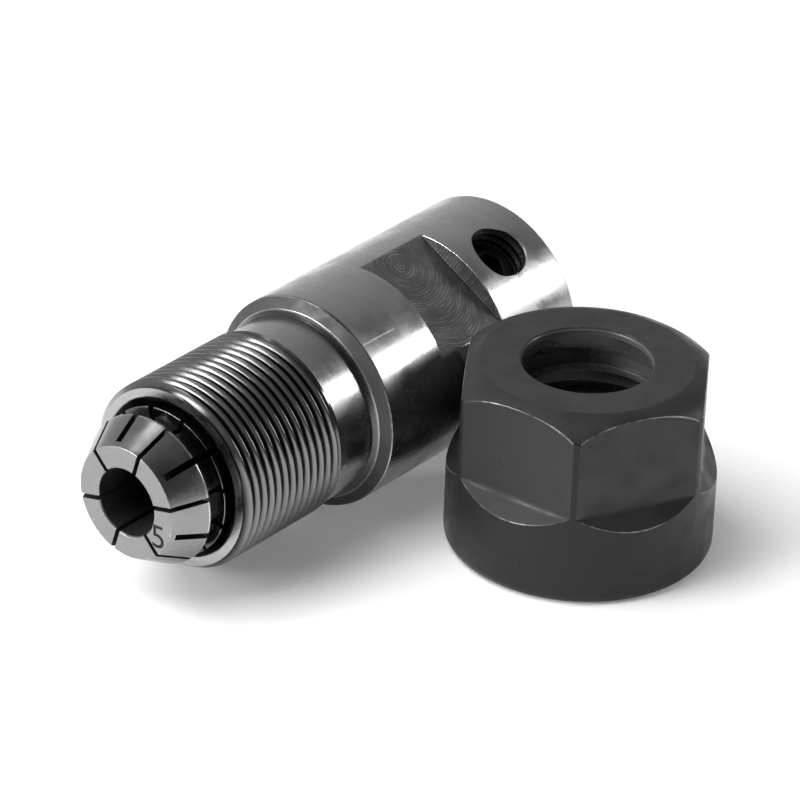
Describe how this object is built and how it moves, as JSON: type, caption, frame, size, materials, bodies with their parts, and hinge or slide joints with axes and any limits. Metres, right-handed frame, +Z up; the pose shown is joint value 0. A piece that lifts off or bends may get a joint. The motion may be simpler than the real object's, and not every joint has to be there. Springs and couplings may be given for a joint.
{
  "type": "motor spindle",
  "caption": "Motor-shaft spindle with a set-screw bore, wrench flats, a slit spring collet in its tapered nose and a separate hexagon clamping nut.",
  "frame": {"origin": "centre of the mouth of the motor-shaft bore, in the spindle's rear face", "axes": "+X along the spindle's axis, out of the rear face, so the nose points to -X; +Z up, with the spindle on its side and the nut on its threaded end, both resting at z = -8 mm"},
  "size_m": [0.0401, 0.0352, 0.016],
  "materials": {
    "turned_steel": "fine turned steel",
    "ground_steel": "ground and polished spring steel",
    "black_oxide": "black oxide, satin",
    "screw_steel": "black alloy steel"
  },
  "bodies": {
    "spindle_body": {"spindle_body": "turned_steel"},
    "collet": {"collet": "ground_steel"},
    "clamping_nut": {"clamping_nut": "black_oxide"},
    "set_screw_upper": {"set_screw_upper": "screw_steel"},
    "set_screw_lower": {"set_screw_lower": "screw_steel"}
  },
  "joints": [
    {"name": "collet_slide", "type": "slide", "parent": "spindle_body", "child": "collet", "axis": [-1, 0, 0], "range_m": [0, 0.015]},
    {"name": "nut_lift", "type": "slide", "parent": "spindle_body", "child": "clamping_nut", "axis": [0, 0, 1], "range_m": [0, 0.03]},
    {"name": "screw_upper_travel", "type": "slide", "parent": "spindle_body", "child": "set_screw_upper", "axis": [0, -0.4939, 0.8695], "range_m": [-0.002, 0.0056]},
    {"name": "screw_lower_travel", "type": "slide", "parent": "spindle_body", "child": "set_screw_lower", "axis": [0, 0.4939, -0.8695], "range_m": [-0.002, 0.0056]}
  ]
}
